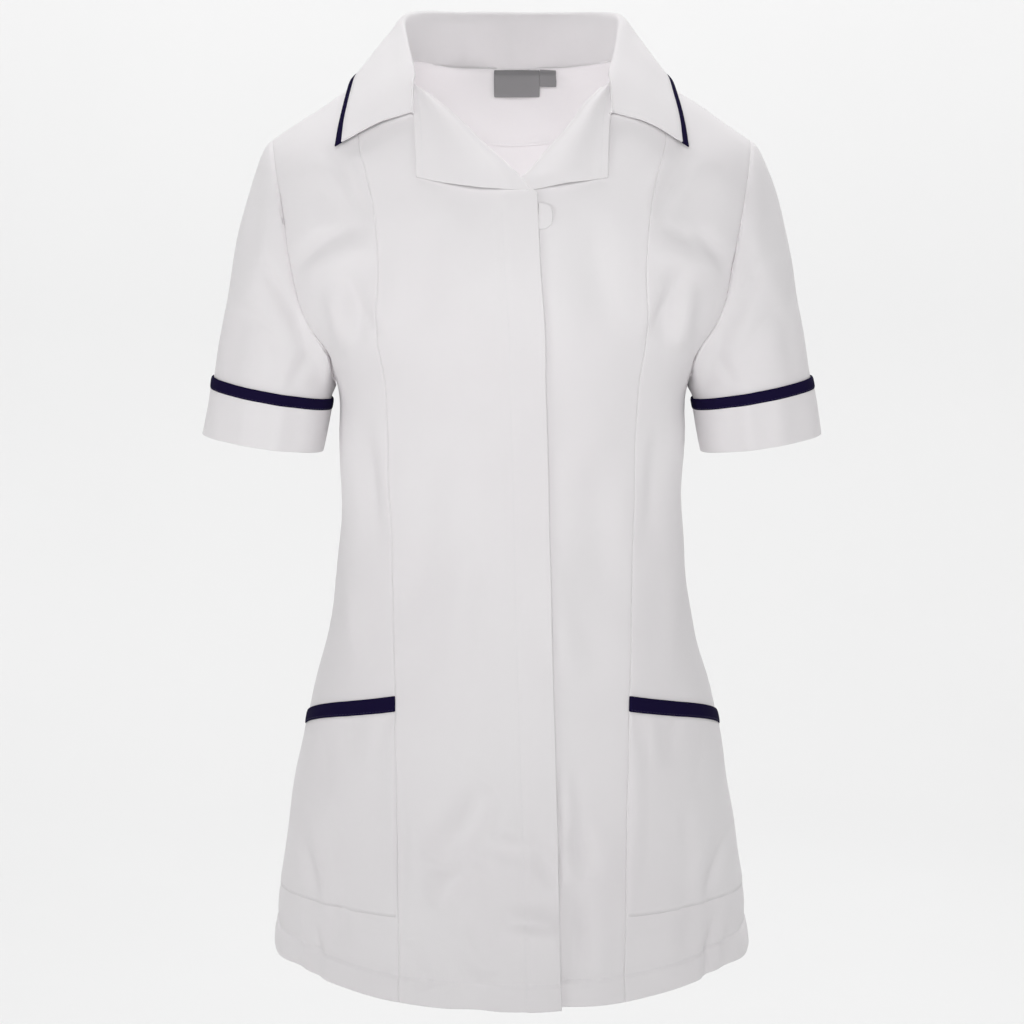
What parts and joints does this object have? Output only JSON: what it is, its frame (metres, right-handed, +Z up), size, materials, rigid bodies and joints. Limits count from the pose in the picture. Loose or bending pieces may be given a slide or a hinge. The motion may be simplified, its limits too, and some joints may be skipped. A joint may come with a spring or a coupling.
{
  "type": "medical tunic",
  "caption": "White short-sleeved medical tunic in its worn, hollow form, with a notched collar, turned-up cuffs, hip pockets and navy trims.",
  "frame": {"origin": "middle of the neck, level with the middle of the shoulder seams' neck ends, where the wearer's shoulders hold the tunic up", "axes": "+Z up along the wearer's spine, the front faces -Y, the wearer's left is +X"},
  "size_m": [0.4932, 0.2509, 0.7712],
  "materials": {
    "white_cloth": "matt polyester and cotton twill",
    "navy_trim": "matt navy binding",
    "grey_label": "smooth woven label tape, bare"
  },
  "bodies": {
    "root": {"back": "white_cloth", "back_neck_facing": "white_cloth", "collar": "white_cloth", "collar_piping": "navy_trim", "cuff_left": "white_cloth", "cuff_right": "white_cloth", "cuff_trim_left": "navy_trim", "cuff_trim_right": "navy_trim", "front_centre_left": "white_cloth", "front_centre_right": "white_cloth", "front_side_left": "white_cloth", "front_side_right": "white_cloth", "label_main": "grey_label", "label_size": "grey_label", "pocket_left": "white_cloth", "pocket_right": "white_cloth", "pocket_trim_left": "navy_trim", "pocket_trim_right": "navy_trim", "revers_left": "white_cloth", "revers_right": "white_cloth", "sleeve_left": "white_cloth", "sleeve_right": "white_cloth", "zip_guard": "white_cloth"}
  },
  "joints": []
}
